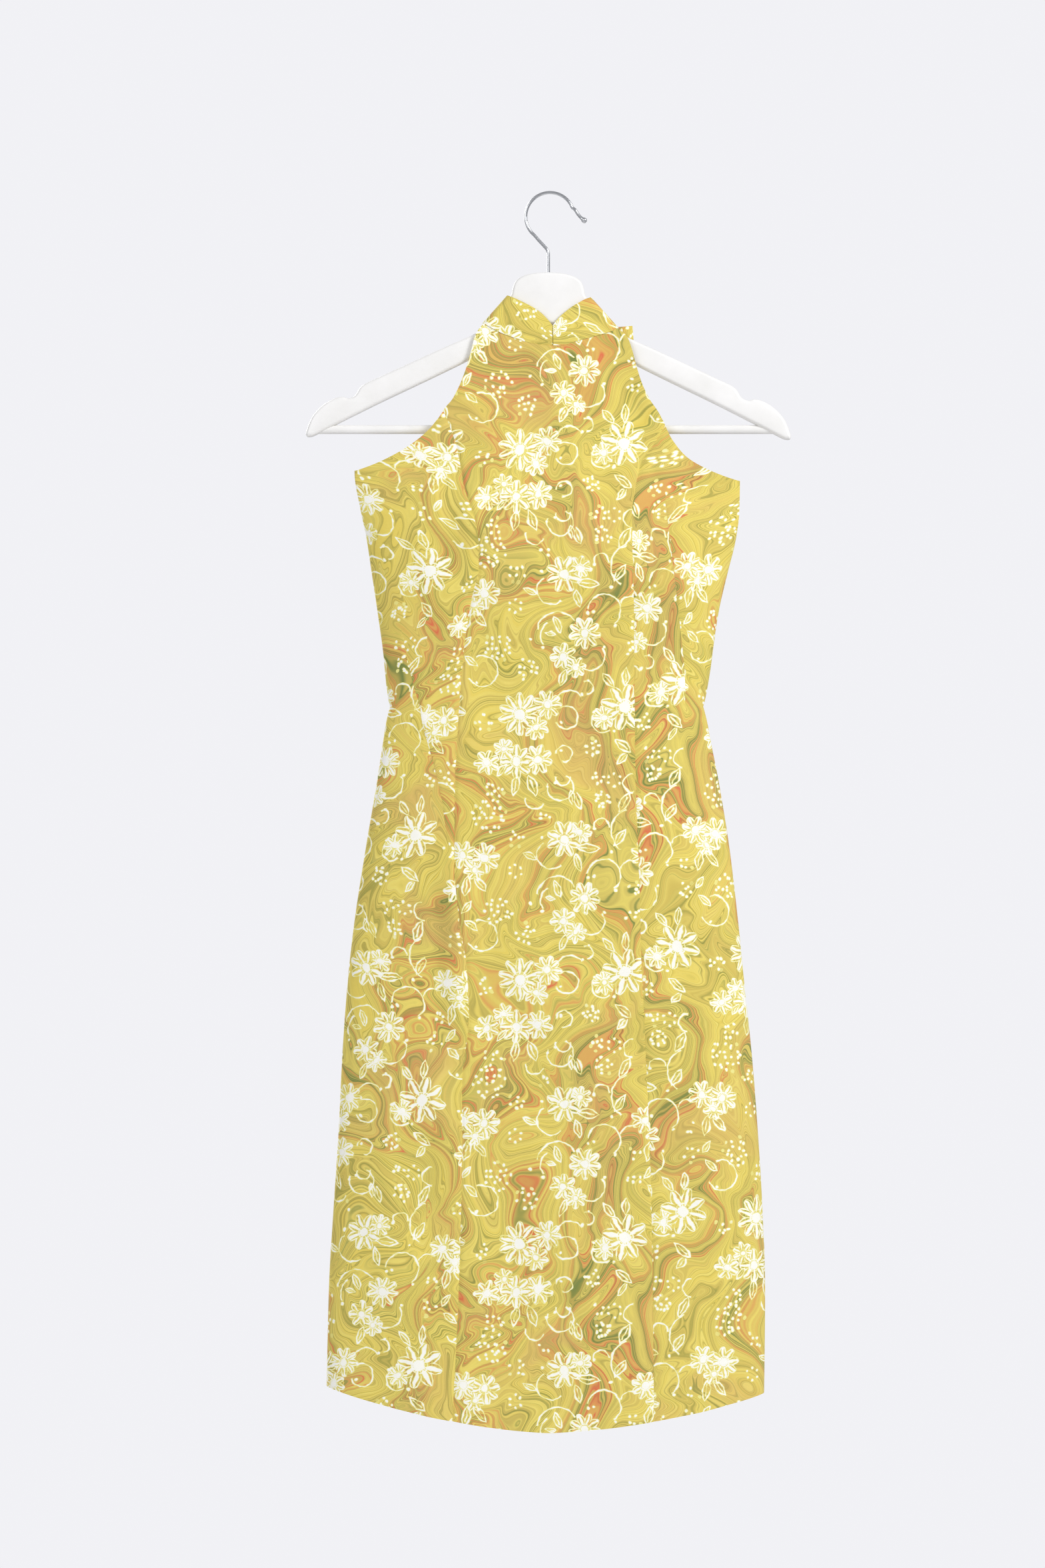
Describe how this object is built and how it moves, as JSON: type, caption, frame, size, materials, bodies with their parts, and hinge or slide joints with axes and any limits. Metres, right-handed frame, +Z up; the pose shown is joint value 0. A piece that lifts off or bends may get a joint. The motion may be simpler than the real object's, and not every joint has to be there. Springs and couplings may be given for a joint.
{
  "type": "halter dress on a hanger",
  "caption": "Knee-length sleeveless halter dress with a stand collar, hung on a flat wooden hanger with a wire hook and trouser bar.",
  "frame": {"origin": "inside top of the hanger's hook, where a rail or wall hook carries it", "axes": "+X to the right as seen from the front, -Y the front of the dress, +Z up"},
  "size_m": [0.4306, 0.0511, 1.0957],
  "materials": {
    "print_cloth": "woven cotton with a wax-resist print",
    "zip_cloth": "woven zip tape",
    "zip_metal": "polished",
    "painted_wood": "satin white paint",
    "chrome": "polished"
  },
  "bodies": {
    "dress": {"front_centre": "print_cloth", "front_side_left": "print_cloth", "front_side_right": "print_cloth", "back_left": "print_cloth", "back_right": "print_cloth", "collar_left": "print_cloth", "collar_right": "print_cloth", "zip_tape": "zip_cloth", "zip_slider": "zip_metal", "hanger_board": "painted_wood", "hanger_bar": "painted_wood", "hanger_hook": "chrome"},
    "zip_pull": {"zip_pull": "zip_metal"}
  },
  "joints": [
    {"name": "zip_pull_hinge", "type": "hinge", "parent": "dress", "child": "zip_pull", "pos_m": [0.00126, 0.01379, -0.2995], "axis": [1, 0, 0], "range_deg": [0, 170]}
  ]
}
